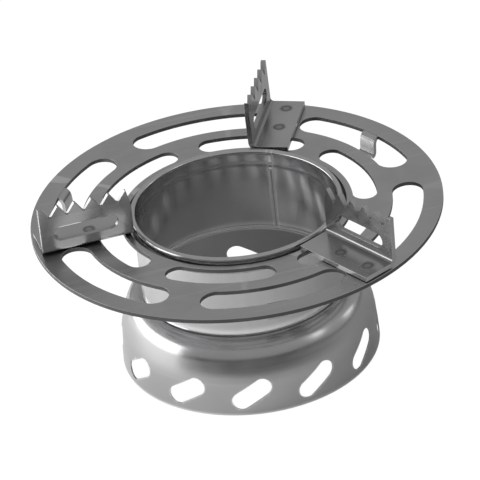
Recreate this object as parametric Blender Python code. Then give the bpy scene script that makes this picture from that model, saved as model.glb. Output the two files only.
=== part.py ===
"""Sheet-steel burner stand: a flared base with a burner well, and a lift-off ring with toothed pot supports.

Metres, +Z up. The origin is on the stand's axis, at the surface that the base skirt rests on.
"""

from math import atan2, cos, hypot, pi, radians, sin, tan

import bmesh
import bpy
from mathutils import Matrix, Vector

MM = 0.001
GAP = 0.3 * MM                       # clearance kept between pieces that touch

# Pot ring: a flat slotted plate
PLATE_TOP = 58.8 * MM                # height of the plate's upper face
PLATE_RADIUS = 75.0 * MM
PLATE_THICKNESS = 1.64 * MM
PLATE_HOLE_RADIUS = 40.0 * MM
SLOTS_PER_ROW = 6
SLOT_HALF_ANGLE = radians(24.5)      # from a slot's centre to the tip of its round end
INNER_SLOTS = (42.4 * MM, 51.3 * MM, radians(19.5))     # inner edge, outer edge, first centre
OUTER_SLOTS = (56.7 * MM, 67.9 * MM, radians(39.5))

# Tabs bent down out of every second outer slot
TAB_WIDTH = 7.4 * MM
TAB_THICKNESS = 1.3 * MM
TAB_DROP = 8.6 * MM                  # below the plate's upper face
TAB_ANGLES = (radians(39.0), radians(159.0), radians(279.0))

# Pot brackets: an upright with saw teeth and a slot, on a foot that is spot welded to the plate
BRACKET_LENGTH = 34.0 * MM
BRACKET_HEIGHT = 19.4 * MM
BRACKET_THICKNESS = 1.8 * MM
BRACKET_BEND_RADIUS = 1.3 * MM       # inside the bend
BRACKET_LEAN = radians(1.3)          # the upright leans away from the foot
BRACKET_FOOT_WIDTH = 14.8 * MM       # over the upright's thickness
TOOTH_COUNT = 6
TOOTH_PITCH = 6.28 * MM
TOOTH_DEPTH = 4.1 * MM
FIRST_TIP = 1.4 * MM                 # innermost tip, from the bracket's inner end
VALLEY_STEP = 3.3 * MM               # from each tip outward to its valley
WINDOW_LENGTH = 24.0 * MM
WINDOW_HEIGHT = 5.7 * MM
WINDOW_CENTRE = (17.2 * MM, 8.1 * MM)                   # along the bracket, above its underside
# name, heading, distance of the inner end along the heading, how far the outer face stands
# to the left of the axis; the right-hand bracket is welded on a few degrees askew
BRACKETS = (
    ("left", radians(193.5), 39.3 * MM, 3.5 * MM),
    ("back", radians(75.2), 39.4 * MM, 3.2 * MM),
    ("right", radians(-51.1), 40.2 * MM, 9.2 * MM),
)

# Spot-weld nuggets, two through each foot: along the bracket, across its foot
NUGGET_RADIUS = 2.3 * MM
NUGGET_PLACES = {"inner": (14.6 * MM, -8.8 * MM), "outer": (28.4 * MM, -8.8 * MM)}
NUGGET_SINK = 0.15 * MM              # below the foot's upper face

# Burner collar: a rolled tube with a bead on its rim and a swaged ledge that carries the plate
COLLAR_INNER_RADIUS = 37.0 * MM
COLLAR_WALL = 0.8 * MM
COLLAR_BOTTOM = 28.1 * MM
BEAD_TUBE_RADIUS = 1.1 * MM
BEAD_CENTRE = (37.7 * MM, PLATE_TOP + 1.0 * MM)         # radius, height
LEDGE_RADIUS = 41.0 * MM
LEDGE_TOP = PLATE_TOP - PLATE_THICKNESS - GAP
LEDGE_FOOT = PLATE_TOP - 4.7 * MM
SEAM_ANGLE = radians(67.5)
SEAM_WIDTH = 1.6 * MM

# Base skirt: a spun bell with a seat lip inside the collar's foot and slanted air holes
SKIRT_WALL = 0.5 * MM
LIP_INNER_RADIUS = 35.9 * MM
LIP_TOP = COLLAR_BOTTOM - 0.5 * MM
SHOULDER_RADIUS = 9.5 * MM           # outer radius of the round shoulder's section
SHOULDER_CENTRE = (36.55 * MM, LIP_TOP - SHOULDER_RADIUS)
WAIST_RADIUS = 47.2 * MM             # outer radius half way down the flared band
WAIST_HEIGHT = 10.3 * MM
RIM_RADIUS = 47.6 * MM
AIR_HOLE_COUNT = 12
AIR_HOLE_FIRST = radians(27.75)
AIR_HOLE_HEIGHT = 8.3 * MM
AIR_HOLE_WIDTH = 7.0 * MM
AIR_HOLE_STRAIGHT = 9.1 * MM         # between the centres of its round ends
AIR_HOLE_SLANT = radians(32.0)

# Fillet weld between the collar's foot and the lip
NECK_BEAD_RADIUS = 0.35 * MM

TURN_STEPS = 60                      # facets round every turned piece
SLOT_STEPS = 10                      # facets along each long side of a plate slot
END_STEPS = 6                        # facets round a half-circle end
BEND_STEPS = 6
NUGGET_STEPS = 16

STEEL = (0.46, 0.46, 0.47)
WELD_STEEL = (0.36, 0.36, 0.37)


# ---------------------------------------------------------------- helpers

def clear_scene():
    """Remove whatever the file holds."""
    for item in list(bpy.data.objects):
        bpy.data.objects.remove(item, do_unlink=True)


def make_material(name, colour, roughness, metallic=1.0):
    """A plain Principled material for one piece."""
    material = bpy.data.materials.new(name)
    material.use_nodes = True
    shader = material.node_tree.nodes["Principled BSDF"]
    shader.inputs["Base Color"].default_value = (*colour, 1.0)
    shader.inputs["Roughness"].default_value = roughness
    shader.inputs["Metallic"].default_value = metallic
    return material


def finish_mesh(bm, name):
    """Weld, point the faces outward and turn the bmesh into a mesh."""
    bmesh.ops.remove_doubles(bm, verts=bm.verts, dist=1e-6)
    bmesh.ops.recalc_face_normals(bm, faces=bm.faces)
    mesh = bpy.data.meshes.new(name)
    bm.to_mesh(mesh)
    bm.free()
    return mesh


def add_object(name, mesh, material=None):
    """Put a mesh in the scene as one named object."""
    piece = bpy.data.objects.new(name, mesh)
    bpy.context.scene.collection.objects.link(piece)
    if material:
        mesh.materials.clear()
        mesh.materials.append(material)
        mesh.shade_smooth()
        mesh.set_sharp_from_angle(angle=radians(30.0))
    return piece


def add_cutter(name, mesh):
    """A guide object that only cuts."""
    cutter = add_object(name, mesh)
    cutter.hide_render = True
    cutter.display_type = "WIRE"
    return cutter


def cut(piece, cutter, operation="DIFFERENCE"):
    """Add an exact Boolean to a piece."""
    boolean = piece.modifiers.new(cutter.name, "BOOLEAN")
    boolean.operation = operation
    boolean.solver = "EXACT"
    boolean.object = cutter
    return boolean


def arc(centre, radius, start, end, steps):
    """Points along an arc in the plane, from the start angle to the end angle."""
    return [
        (
            centre[0] + radius * cos(start + (end - start) * i / steps),
            centre[1] + radius * sin(start + (end - start) * i / steps),
        )
        for i in range(steps + 1)
    ]


def turned_mesh(name, section):
    """Turn a closed (radius, height) section about Z."""
    bm = bmesh.new()
    corners = [bm.verts.new((radius, 0.0, height)) for radius, height in section]
    edges = [bm.edges.new((corners[i - 1], corners[i])) for i in range(len(corners))]
    bmesh.ops.spin(
        bm, geom=corners + edges, cent=(0, 0, 0), axis=(0, 0, 1),
        angle=2.0 * pi, steps=TURN_STEPS, use_merge=True,
    )
    return finish_mesh(bm, name)


def add_prism(bm, outlines, start, end, frame=None):
    """Add a solid between two levels of Z; the first outline is its edge and the rest are holes."""
    loops = []
    for outline in outlines:
        verts = [bm.verts.new((x, y, start)) for x, y in outline]
        loops += [bm.edges.new((verts[i - 1], verts[i])) for i in range(len(verts))]
    faces = [f for f in bmesh.ops.triangle_fill(bm, edges=loops, use_beauty=True)["geom"]
             if isinstance(f, bmesh.types.BMFace)]
    floor_verts = list({v for f in faces for v in f.verts})
    grown = bmesh.ops.extrude_face_region(bm, geom=faces, use_keep_orig=True)["geom"]
    roof_verts = [v for v in grown if isinstance(v, bmesh.types.BMVert)]
    bmesh.ops.translate(bm, verts=roof_verts, vec=(0, 0, end - start))
    if frame:
        bmesh.ops.transform(bm, matrix=frame, verts=floor_verts + roof_verts)


def circle_outline(radius, steps):
    """A circle about the axis, with corners on the X and Y axes."""
    return arc((0.0, 0.0), radius, 0.0, 2.0 * pi, steps)[:-1]


def obround_outline(straight, width):
    """A slot outline along X about the origin: two straight sides and two half-circle ends."""
    right = arc((straight / 2, 0.0), width / 2, -pi / 2, pi / 2, END_STEPS)
    left = arc((-straight / 2, 0.0), width / 2, pi / 2, 3 * pi / 2, END_STEPS)
    return right + left


# ---------------------------------------------------------------- pot support plate

def curved_slot_outline(inner, outer, centre_angle):
    """A slot that follows a circle about the axis, with half-circle ends."""
    middle = (inner + outer) / 2
    end_radius = (outer - inner) / 2
    half = SLOT_HALF_ANGLE - end_radius / middle
    first, last = centre_angle - half, centre_angle + half
    first_centre = (middle * cos(first), middle * sin(first))
    last_centre = (middle * cos(last), middle * sin(last))
    points = arc((0.0, 0.0), outer, first, last, SLOT_STEPS)
    points += arc(last_centre, end_radius, last, last + pi, END_STEPS)[1:-1]
    points += arc((0.0, 0.0), inner, last, first, SLOT_STEPS)
    points += arc(first_centre, end_radius, first + pi, first + 2 * pi, END_STEPS)[1:-1]
    return points


def tab_section():
    """Closed (inward run, height) section of a bent tab, along its S-shaped middle line."""
    root = PLATE_TOP - PLATE_THICKNESS / 2
    foot = PLATE_TOP - TAB_DROP
    middle = [
        (-2.6 * MM, root),
        (0.0, root),
        (1.0 * MM, root - 0.35 * MM),
        (1.7 * MM, root - 1.3 * MM),
        (2.0 * MM, root - 2.9 * MM),
        (2.1 * MM, foot + 2.4 * MM),
        (2.5 * MM, foot + 1.2 * MM),
        (3.5 * MM, foot + TAB_THICKNESS / 2),
    ]
    left, right = [], []
    for i, (run, height) in enumerate(middle):
        before = middle[max(i - 1, 0)]
        after = middle[min(i + 1, len(middle) - 1)]
        length = hypot(after[0] - before[0], after[1] - before[1])
        side = Vector((-(after[1] - before[1]), after[0] - before[0])) * (TAB_THICKNESS / 2 / length)
        left.append((run + side.x, height + side.y))
        right.append((run - side.x, height - side.y))
    return left + right[::-1]


def tab_mesh():
    """The three tabs, each running inward from its slot's outer edge and then down."""
    bm = bmesh.new()
    edge_radius = OUTER_SLOTS[1]
    for angle in TAB_ANGLES:
        # the prism's own x is the inward run, its y is the height and its z runs along the rim
        frame = Matrix.Rotation(angle, 4, "Z") @ Matrix.Translation((edge_radius, 0, 0)) @ Matrix((
            (-1, 0, 0, 0),
            (0, 0, 1, 0),
            (0, 1, 0, 0),
            (0, 0, 0, 1),
        ))
        add_prism(bm, [tab_section()], -TAB_WIDTH / 2, TAB_WIDTH / 2, frame)
    return finish_mesh(bm, "tabs")


def build_plate():
    """Slotted ring plate with its tabs."""
    outlines = [
        circle_outline(PLATE_RADIUS, TURN_STEPS),
        circle_outline(PLATE_HOLE_RADIUS, TURN_STEPS),
    ]
    for inner, outer, first_angle in (INNER_SLOTS, OUTER_SLOTS):
        for i in range(SLOTS_PER_ROW):
            outlines.append(curved_slot_outline(inner, outer, first_angle + 2 * pi * i / SLOTS_PER_ROW))
    bm = bmesh.new()
    add_prism(bm, outlines, PLATE_TOP - PLATE_THICKNESS, PLATE_TOP)
    material = make_material("plate_steel", STEEL, 0.38)
    plate = add_object("pot_support_plate", finish_mesh(bm, "pot_support_plate"), material)
    cut(plate, add_cutter("tab_blanks", tab_mesh()), "UNION")
    return plate


# ---------------------------------------------------------------- pot brackets

def bracket_section():
    """Closed (across, height) section of the L, with the bend's outer side at zero and the foot towards -Y."""
    inside = BRACKET_BEND_RADIUS
    outside = inside + BRACKET_THICKNESS
    bend = (-outside, outside)
    section = [(-BRACKET_FOOT_WIDTH, 0.0)]
    section += arc(bend, outside, -pi / 2, -BRACKET_LEAN, BEND_STEPS)
    section.append(lean_up(section[-1]))
    back = arc(bend, inside, -BRACKET_LEAN, -pi / 2, BEND_STEPS)
    section.append(lean_up(back[0]))
    section += back
    section.append((-BRACKET_FOOT_WIDTH, BRACKET_THICKNESS))
    return section


def lean_up(point):
    """The point where the upright's leaning face, starting here, reaches its full height."""
    across, height = point
    return across + (BRACKET_HEIGHT - height) * tan(BRACKET_LEAN), BRACKET_HEIGHT


def tooth_outline():
    """What is cut away above the saw teeth, as (along, height) points."""
    top = BRACKET_HEIGHT + 2.0 * MM
    valley_height = BRACKET_HEIGHT - TOOTH_DEPTH
    tip_flat = 0.5 * MM
    valley_flat = 0.25 * MM
    points = [(-1.0 * MM, top), (-1.0 * MM, 11.0 * MM), (0.0, 11.0 * MM)]
    points.append((0.25 * MM, BRACKET_HEIGHT - 2.5 * MM))
    points.append((FIRST_TIP - tip_flat / 2, BRACKET_HEIGHT - 0.05 * MM))
    for i in range(TOOTH_COUNT - 1):
        tip = FIRST_TIP + i * TOOTH_PITCH
        points.append((tip + tip_flat / 2, BRACKET_HEIGHT - 0.05 * MM))
        points.append((tip + VALLEY_STEP - valley_flat / 2, valley_height))
        points.append((tip + VALLEY_STEP + valley_flat / 2, valley_height))
        points.append((tip + TOOTH_PITCH - tip_flat / 2, BRACKET_HEIGHT - 0.05 * MM))
    points.append((BRACKET_LENGTH + 1.0 * MM, BRACKET_HEIGHT - 0.05 * MM))
    points.append((BRACKET_LENGTH + 1.0 * MM, top))
    return points


def bracket_cutter_mesh():
    """Tooth gullets, the window in the upright and the two nugget holes in the foot."""
    bm = bmesh.new()
    upright = Matrix((
        (1, 0, 0, 0),
        (0, 0, 1, 0),
        (0, 1, 0, 0),
        (0, 0, 0, 1),
    ))
    far, near = -BRACKET_THICKNESS - 1.0 * MM, 2.0 * MM
    add_prism(bm, [tooth_outline()], far, near, upright)
    window = obround_outline(WINDOW_LENGTH - WINDOW_HEIGHT, WINDOW_HEIGHT)
    window = [(x + WINDOW_CENTRE[0], y + WINDOW_CENTRE[1]) for x, y in window]
    add_prism(bm, [window], far, near, upright)
    for x, y in NUGGET_PLACES.values():
        place = Matrix.Translation((x, y, 0))
        hole = circle_outline(NUGGET_RADIUS + GAP, NUGGET_STEPS)
        add_prism(bm, [hole], -1.0 * MM, BRACKET_THICKNESS + 1.0 * MM, place)
    return finish_mesh(bm, "bracket_cuts")


def bracket_frame(heading, start, offset):
    """Where a bracket's own corner and directions go on the plate."""
    lift = Matrix.Translation((0, 0, PLATE_TOP + GAP))
    return lift @ Matrix.Rotation(heading, 4, "Z") @ Matrix.Translation((start, offset, 0))


def build_brackets():
    """Three brackets from one blank, and the nuggets that hold them."""
    bm = bmesh.new()
    across = Matrix((
        (0, 0, 1, 0),
        (1, 0, 0, 0),
        (0, 1, 0, 0),
        (0, 0, 0, 1),
    ))
    add_prism(bm, [bracket_section()], 0.0, BRACKET_LENGTH, across)
    blank = finish_mesh(bm, "bracket_blank")
    cuts = bracket_cutter_mesh()
    for name, heading, start, offset in BRACKETS:
        frame = bracket_frame(heading, start, offset)
        material = make_material(f"bracket_steel_{name}", STEEL, 0.34)
        bracket = add_object(f"pot_bracket_{name}", blank.copy(), material)
        bracket.matrix_world = frame
        cutter = add_cutter(f"bracket_cuts_{name}", cuts)
        cutter.matrix_world = frame
        cut(bracket, cutter)
        for end, (x, y) in NUGGET_PLACES.items():
            build_nugget(f"spot_weld_{name}_{end}", frame @ Matrix.Translation((x, y, 0)))


def build_nugget(name, place):
    """One round spot-weld nugget, sunk a little below the foot's face."""
    bm = bmesh.new()
    add_prism(bm, [circle_outline(NUGGET_RADIUS, NUGGET_STEPS)], 0.0, BRACKET_THICKNESS - NUGGET_SINK, place)
    add_object(name, finish_mesh(bm, name), make_material(f"{name}_steel", WELD_STEEL, 0.5))


# ---------------------------------------------------------------- burner collar

def collar_section():
    """Closed (radius, height) section of the collar wall with its ledge and its rim bead."""
    inner = COLLAR_INNER_RADIUS
    outer = inner + COLLAR_WALL
    edge = 0.45 * MM
    bead_r, bead_z = BEAD_CENTRE
    # where the wall's two faces run into the round bead
    outer_join = atan2(-(BEAD_TUBE_RADIUS ** 2 - (outer - bead_r) ** 2) ** 0.5, outer - bead_r)
    inner_join = atan2(-(BEAD_TUBE_RADIUS ** 2 - (bead_r - inner) ** 2) ** 0.5, inner - bead_r)
    section = [(inner, COLLAR_BOTTOM), (outer, COLLAR_BOTTOM), (outer, LEDGE_FOOT)]
    section.append((LEDGE_RADIUS - edge, LEDGE_TOP - 2 * edge - 0.25 * MM))
    section += arc((LEDGE_RADIUS - edge, LEDGE_TOP - edge), edge, -pi / 4, pi / 2, 3)
    section.append((outer, LEDGE_TOP))
    section += arc(BEAD_CENTRE, BEAD_TUBE_RADIUS, outer_join, 2 * pi + inner_join, 9)
    groove_top = LEDGE_TOP - COLLAR_WALL
    section.append((inner, groove_top))
    section.append((LEDGE_RADIUS - 2.2 * MM, groove_top - 0.1 * MM))
    section.append((inner, LEDGE_FOOT - 0.3 * MM))
    return section


def build_collar():
    """Collar tube with a slit for the seam weld, and the weld in it."""
    material = make_material("collar_steel", STEEL, 0.3)
    collar = add_object("burner_collar", turned_mesh("burner_collar", collar_section()), material)
    wall_middle = COLLAR_INNER_RADIUS + COLLAR_WALL / 2
    seam_top = LEDGE_FOOT - 1.2 * MM
    frame = Matrix.Rotation(SEAM_ANGLE, 4, "Z")
    slit = bmesh.new()
    reach = 3.0 * MM
    half = SEAM_WIDTH / 2
    outline = [(wall_middle - reach, -half), (wall_middle + reach, -half),
               (wall_middle + reach, half), (wall_middle - reach, half)]
    add_prism(slit, [outline], COLLAR_BOTTOM - 1.0 * MM, seam_top, frame)
    cut(collar, add_cutter("seam_slit", finish_mesh(slit, "seam_slit")))

    # a slightly crowned strip of weld metal, clear of the slit on three sides
    bm = bmesh.new()
    half = SEAM_WIDTH / 2 - GAP
    inner, outer = COLLAR_INNER_RADIUS, COLLAR_INNER_RADIUS + COLLAR_WALL
    crown = 0.12 * MM
    strip = [
        (inner, -half), (outer, -half), (outer + crown, 0.0),
        (outer, half), (inner, half), (inner - crown, 0.0),
    ]
    add_prism(bm, [strip], COLLAR_BOTTOM, seam_top - GAP, frame)
    mesh = finish_mesh(bm, "collar_seam_weld")
    add_object("collar_seam_weld", mesh, make_material("seam_weld_steel", WELD_STEEL, 0.42))

    lip_middle = COLLAR_INNER_RADIUS - GAP - NECK_BEAD_RADIUS
    ring = arc((lip_middle, LIP_TOP + GAP + NECK_BEAD_RADIUS), NECK_BEAD_RADIUS, 0.0, 2 * pi, 6)[:-1]
    mesh = turned_mesh("neck_weld_bead", ring)
    add_object("neck_weld_bead", mesh, make_material("neck_weld_steel", WELD_STEEL, 0.42))


# ---------------------------------------------------------------- base skirt

def skirt_section():
    """Closed (radius, height) section: seat lip, round shoulder and flared band."""
    wall = SKIRT_WALL
    shoulder_r, shoulder_z = SHOULDER_CENTRE
    flare = atan2(WAIST_RADIUS - shoulder_r - SHOULDER_RADIUS, shoulder_z - WAIST_HEIGHT)
    outer = [(LIP_INNER_RADIUS, LIP_TOP)]
    outer += arc(SHOULDER_CENTRE, SHOULDER_RADIUS, pi / 2, flare, 7)
    outer += [(WAIST_RADIUS, WAIST_HEIGHT), (RIM_RADIUS, 0.0)]
    inner = [(RIM_RADIUS - wall, 0.0), (WAIST_RADIUS - wall, WAIST_HEIGHT)]
    inner += arc(SHOULDER_CENTRE, SHOULDER_RADIUS - wall, flare, pi / 2, 7)
    inner += [(LIP_INNER_RADIUS, LIP_TOP - wall)]
    return outer + inner


def build_skirt():
    """Bell-shaped base with a ring of slanted air holes."""
    material = make_material("skirt_steel", STEEL, 0.32)
    skirt = add_object("base_skirt", turned_mesh("base_skirt", skirt_section()), material)
    bm = bmesh.new()
    outline = obround_outline(AIR_HOLE_STRAIGHT, AIR_HOLE_WIDTH)
    for i in range(AIR_HOLE_COUNT):
        angle = AIR_HOLE_FIRST + 2 * pi * i / AIR_HOLE_COUNT
        # the outline's x runs round the skirt, its y runs up and the prism's z runs outward
        frame = Matrix.Rotation(angle, 4, "Z") @ Matrix.Translation((0, 0, AIR_HOLE_HEIGHT)) @ Matrix((
            (0, 0, 1, 0),
            (1, 0, 0, 0),
            (0, 1, 0, 0),
            (0, 0, 0, 1),
        )) @ Matrix.Rotation(AIR_HOLE_SLANT, 4, "Z")
        add_prism(bm, [outline], RIM_RADIUS - 6.0 * MM, RIM_RADIUS + 3.0 * MM, frame)
    cut(skirt, add_cutter("air_holes", finish_mesh(bm, "air_holes")))


def main():
    clear_scene()
    build_skirt()
    build_collar()
    build_plate()
    build_brackets()
    bpy.context.view_layer.update()


main()
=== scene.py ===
"""Sheet-steel burner stand: fine meshes, steel finishes and a small studio round the packed model.

The pieces are a bell-shaped vented base, a rolled burner collar, a slotted pot ring, three toothed
brackets and the welds that hold them. Metres, +Z up, in the packed model's own frame.
"""

from math import atan2, cos, hypot, pi, radians, sin, tan

import bmesh
import bpy
from mathutils import Matrix, Vector


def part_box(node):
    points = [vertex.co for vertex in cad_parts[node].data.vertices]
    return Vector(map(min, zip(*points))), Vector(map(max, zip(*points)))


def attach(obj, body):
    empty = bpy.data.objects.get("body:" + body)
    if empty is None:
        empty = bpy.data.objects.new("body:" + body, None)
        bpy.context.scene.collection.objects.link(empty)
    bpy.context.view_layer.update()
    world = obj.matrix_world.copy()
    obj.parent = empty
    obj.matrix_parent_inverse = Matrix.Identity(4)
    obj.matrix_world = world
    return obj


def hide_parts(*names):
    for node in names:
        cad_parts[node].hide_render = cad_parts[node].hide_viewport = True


bl_info = {
    "name": "Burner Stand",
    "version": (1, 0, 0),
    "blender": (4, 5, 0),
    "location": "3D View > Sidebar > Burner Stand",
    "description": "Builds a vented sheet-steel burner stand with a lift-off pot ring, and its studio",
    "category": "Add Mesh",
}

MM = 0.001

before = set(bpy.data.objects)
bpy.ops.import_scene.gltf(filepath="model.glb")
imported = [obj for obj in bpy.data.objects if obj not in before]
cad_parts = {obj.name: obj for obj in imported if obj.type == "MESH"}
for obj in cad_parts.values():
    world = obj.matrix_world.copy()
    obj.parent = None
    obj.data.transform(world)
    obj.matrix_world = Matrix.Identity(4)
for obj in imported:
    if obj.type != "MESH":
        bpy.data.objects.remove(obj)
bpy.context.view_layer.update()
PLATE_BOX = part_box("pot_support_plate")
SKIRT_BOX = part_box("base_skirt")
COLLAR_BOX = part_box("burner_collar")
CLEARANCE = 0.3 * MM                 # kept between pieces that touch in the packed model


# ---------------------------------------------------------------- settings

def length(name, description, metres):
    """A size in metres."""
    return bpy.props.FloatProperty(
        name=name, description=description, default=metres, unit="LENGTH", precision=5)


def turn(name, description, degrees):
    """An angle, given here in degrees."""
    return bpy.props.FloatProperty(
        name=name, description=description, default=radians(degrees), unit="ROTATION")


def number(name, description, default):
    """A count of equal pieces or facets."""
    return bpy.props.IntProperty(name=name, description=description, default=default, min=1)


def share(name, description, default):
    """A plain number such as a roughness."""
    return bpy.props.FloatProperty(name=name, description=description, default=default, min=0.0)


def colour(name, description, default):
    """A linear colour."""
    return bpy.props.FloatVectorProperty(
        name=name, description=description, default=default, size=3, subtype="COLOR", min=0.0, max=1.0)


class PlateSettings(bpy.types.PropertyGroup):
    """Sizes of the slotted pot support plate."""

    top: length("Top", "Height of the upper face", PLATE_BOX[1].z)
    radius: length("Radius", "Outer radius", PLATE_BOX[1].x)
    thickness: length("Thickness", "Sheet thickness", 1.64 * MM)
    hole_radius: length("Hole Radius", "Radius of the hole round the collar", 40.0 * MM)
    slots_per_row: number("Slots Per Row", "Curved slots in each of the two rows", 6)
    slot_half_angle: turn("Slot Half Angle", "From a slot's centre to the tip of its round end", 24.5)
    inner_row_inside: length("Inner Row Inside", "Inner edge of the inner row", 42.4 * MM)
    inner_row_outside: length("Inner Row Outside", "Outer edge of the inner row", 51.3 * MM)
    inner_row_first: turn("Inner Row First", "Where the inner row's first slot is centred", 19.5)
    outer_row_inside: length("Outer Row Inside", "Inner edge of the outer row", 56.7 * MM)
    outer_row_outside: length("Outer Row Outside", "Outer edge of the outer row", 67.9 * MM)
    outer_row_first: turn("Outer Row First", "Where the outer row's first slot is centred", 39.5)
    edge_round: length("Edge Round", "Width of the worn-down punched edge", 0.22 * MM)
    tab_width: length("Tab Width", "Width of each bent tab", 7.4 * MM)
    tab_thickness: length("Tab Thickness", "Thickness of each bent tab", 1.3 * MM)
    tab_drop: length("Tab Drop", "How far a tab reaches below the upper face", 8.6 * MM)
    tab_first: turn("First Tab", "Where the first tab stands", 39.0)
    tab_count: number("Tabs", "Bent tabs round the plate", 3)


class BracketSettings(bpy.types.PropertyGroup):
    """Sizes of the three toothed pot brackets and their spot welds."""

    length: length("Length", "Along the foot", 34.0 * MM)
    height: length("Height", "From underside to tooth tips", 19.35 * MM)
    thickness: length("Thickness", "Sheet thickness", 1.8 * MM)
    bend_radius: length("Bend Radius", "Inside the bend", 1.3 * MM)
    lean: turn("Lean", "How far the upright leans away from the foot", 1.3)
    foot_width: length("Foot Width", "Over the upright's thickness", 14.8 * MM)
    tooth_count: number("Teeth", "Saw teeth along the top", 6)
    tooth_pitch: length("Tooth Pitch", "From tip to tip", 6.28 * MM)
    tooth_depth: length("Tooth Depth", "From tip to valley", 4.1 * MM)
    first_tip: length("First Tip", "Innermost tip, from the inner end", 1.4 * MM)
    valley_step: length("Valley Step", "From a tip outward to its valley", 3.3 * MM)
    window_length: length("Window Length", "Of the round-ended window", 24.0 * MM)
    window_height: length("Window Height", "Of the round-ended window", 5.7 * MM)
    window_along: length("Window Along", "Window centre from the inner end", 17.2 * MM)
    window_up: length("Window Up", "Window centre above the underside", 8.1 * MM)
    edge_round: length("Edge Round", "Width of the worn-down cut edge", 0.16 * MM)
    weld_radius: length("Weld Radius", "Radius of a spot weld's mark", 2.3 * MM)
    weld_across: length("Weld Across", "From the upright's outer face to the welds", 8.8 * MM)
    inner_weld: length("Inner Weld", "Inner weld from the inner end", 14.6 * MM)
    outer_weld: length("Outer Weld", "Outer weld from the inner end", 28.4 * MM)


class CollarSettings(bpy.types.PropertyGroup):
    """Sizes of the rolled burner collar."""

    inner_radius: length("Inner Radius", "Of the burner well", 37.0 * MM)
    wall: length("Wall", "Sheet thickness", 0.8 * MM)
    bottom: length("Bottom", "Height of the lower edge", COLLAR_BOX[0].z)
    bead_radius: length("Bead Radius", "Radius of the rolled rim's section", 1.1 * MM)
    bead_distance: length("Bead Distance", "From the axis to the rolled rim's middle", 37.7 * MM)
    bead_rise: length("Bead Rise", "The rolled rim's middle above the plate", 1.0 * MM)
    ledge_radius: length("Ledge Radius", "Of the ledge that carries the plate", 41.0 * MM)
    ledge_depth: length("Ledge Depth", "Foot of the ledge below the plate's upper face", 4.7 * MM)
    seam_angle: turn("Seam Angle", "Where the rolled tube is welded shut", 67.5)
    seam_width: length("Seam Width", "Width of that weld", 1.0 * MM)


class SkirtSettings(bpy.types.PropertyGroup):
    """Sizes of the bell-shaped base."""

    wall: length("Wall", "Sheet thickness", 0.5 * MM)
    lip_radius: length("Lip Radius", "Inner radius of the seat lip", 35.9 * MM)
    lip_top: length("Lip Top", "Height of the seat lip", SKIRT_BOX[1].z)
    shoulder_distance: length("Shoulder Distance", "From the axis to where the shoulder starts", 36.55 * MM)
    waist_radius: length("Waist Radius", "Outer radius half way down the band", 47.2 * MM)
    waist_height: length("Waist Height", "Height of that place", 10.3 * MM)
    rim_radius: length("Rim Radius", "Outer radius at the ground", SKIRT_BOX[1].x)
    hole_count: number("Air Holes", "Slanted air holes round the band", 12)
    hole_first: turn("First Air Hole", "Where the first air hole is centred", 27.75)
    hole_height: length("Air Hole Height", "Of the hole's centre", 8.3 * MM)
    hole_width: length("Air Hole Width", "Across the hole", 7.0 * MM)
    hole_straight: length("Air Hole Straight", "Between the centres of its round ends", 9.1 * MM)
    hole_slant: turn("Air Hole Slant", "Away from level", 32.0)
    neck_weld_radius: length("Neck Weld Radius", "Of the fillet under the collar", 0.35 * MM)
    neck_weld_scales: number("Neck Weld Scales", "Overlapping scales round that fillet", 220)


class FinishSettings(bpy.types.PropertyGroup):
    """Colours and roughness of the steel."""

    plate_colour: colour("Plate", "Satin steel of the plate", (0.42, 0.42, 0.425))
    plate_roughness: share("Plate Roughness", "Mean roughness", 0.30)
    # the tabs are bent from the plate's sheet; their darker colour than the plate is painted shade where they hang
    # down under it
    tab_shaded_colour: colour("Tabs", "Stretched steel of the bent tabs", (0.35, 0.35, 0.355))
    bracket_colour: colour("Brackets", "Satin steel of the brackets", (0.31, 0.31, 0.313))
    bracket_roughness: share("Bracket Roughness", "Mean roughness", 0.22)
    collar_colour: colour("Collar", "Bright steel of the collar", (0.57, 0.57, 0.575))
    collar_roughness: share("Collar Roughness", "Mean roughness", 0.19)
    skirt_colour: colour("Skirt", "Spun steel of the base", (0.52, 0.52, 0.525))
    skirt_roughness: share("Skirt Roughness", "Mean roughness", 0.24)
    seam_colour: colour("Seam Weld", "Ground-down weld metal", (0.50, 0.50, 0.505))
    weld_colour: colour("Spot Welds", "Heat-tinted weld metal", (0.22, 0.22, 0.225))
    weld_roughness: share("Weld Roughness", "Mean roughness", 0.42)


class StudioSettings(bpy.types.PropertyGroup):
    """Camera, floor and lights."""

    lens: share("Lens", "Focal length in millimetres on a 36 mm sensor", 303.16)
    distance: length("Distance", "Camera from the middle of the plate", 1463.1 * MM)
    elevation: turn("Elevation", "Of the camera above the plate", 30.867)
    pitch: turn("Pitch", "How far the camera looks down", 31.338)
    roll: turn("Roll", "How far the camera is tipped", -6.366)
    floor_size: length("Floor Size", "Width of the floor", 12.0)
    floor_colour: colour("Floor", "Pale floor", (0.80, 0.80, 0.80))
    surround: share("Surround", "Strength of the even light all round", 0.42)
    front_shade: share("Front Shade", "Strength of the dim room low at the front", 0.04)


class StandSettings(bpy.types.PropertyGroup):
    """Everything that can be set."""

    plate: bpy.props.PointerProperty(type=PlateSettings)
    bracket: bpy.props.PointerProperty(type=BracketSettings)
    collar: bpy.props.PointerProperty(type=CollarSettings)
    skirt: bpy.props.PointerProperty(type=SkirtSettings)
    finish: bpy.props.PointerProperty(type=FinishSettings)
    studio: bpy.props.PointerProperty(type=StudioSettings)


# name, heading, distance of the inner end along the heading, how far the outer face stands
# to the left of the axis; the right-hand bracket is welded on a few degrees askew
BRACKET_PLACES = (
    ("left", radians(193.5), 39.3 * MM, 3.5 * MM),
    ("back", radians(75.2), 39.4 * MM, 3.2 * MM),
    ("right", radians(-51.1), 40.2 * MM, 9.2 * MM),
)


# ---------------------------------------------------------------- node helpers

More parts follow.
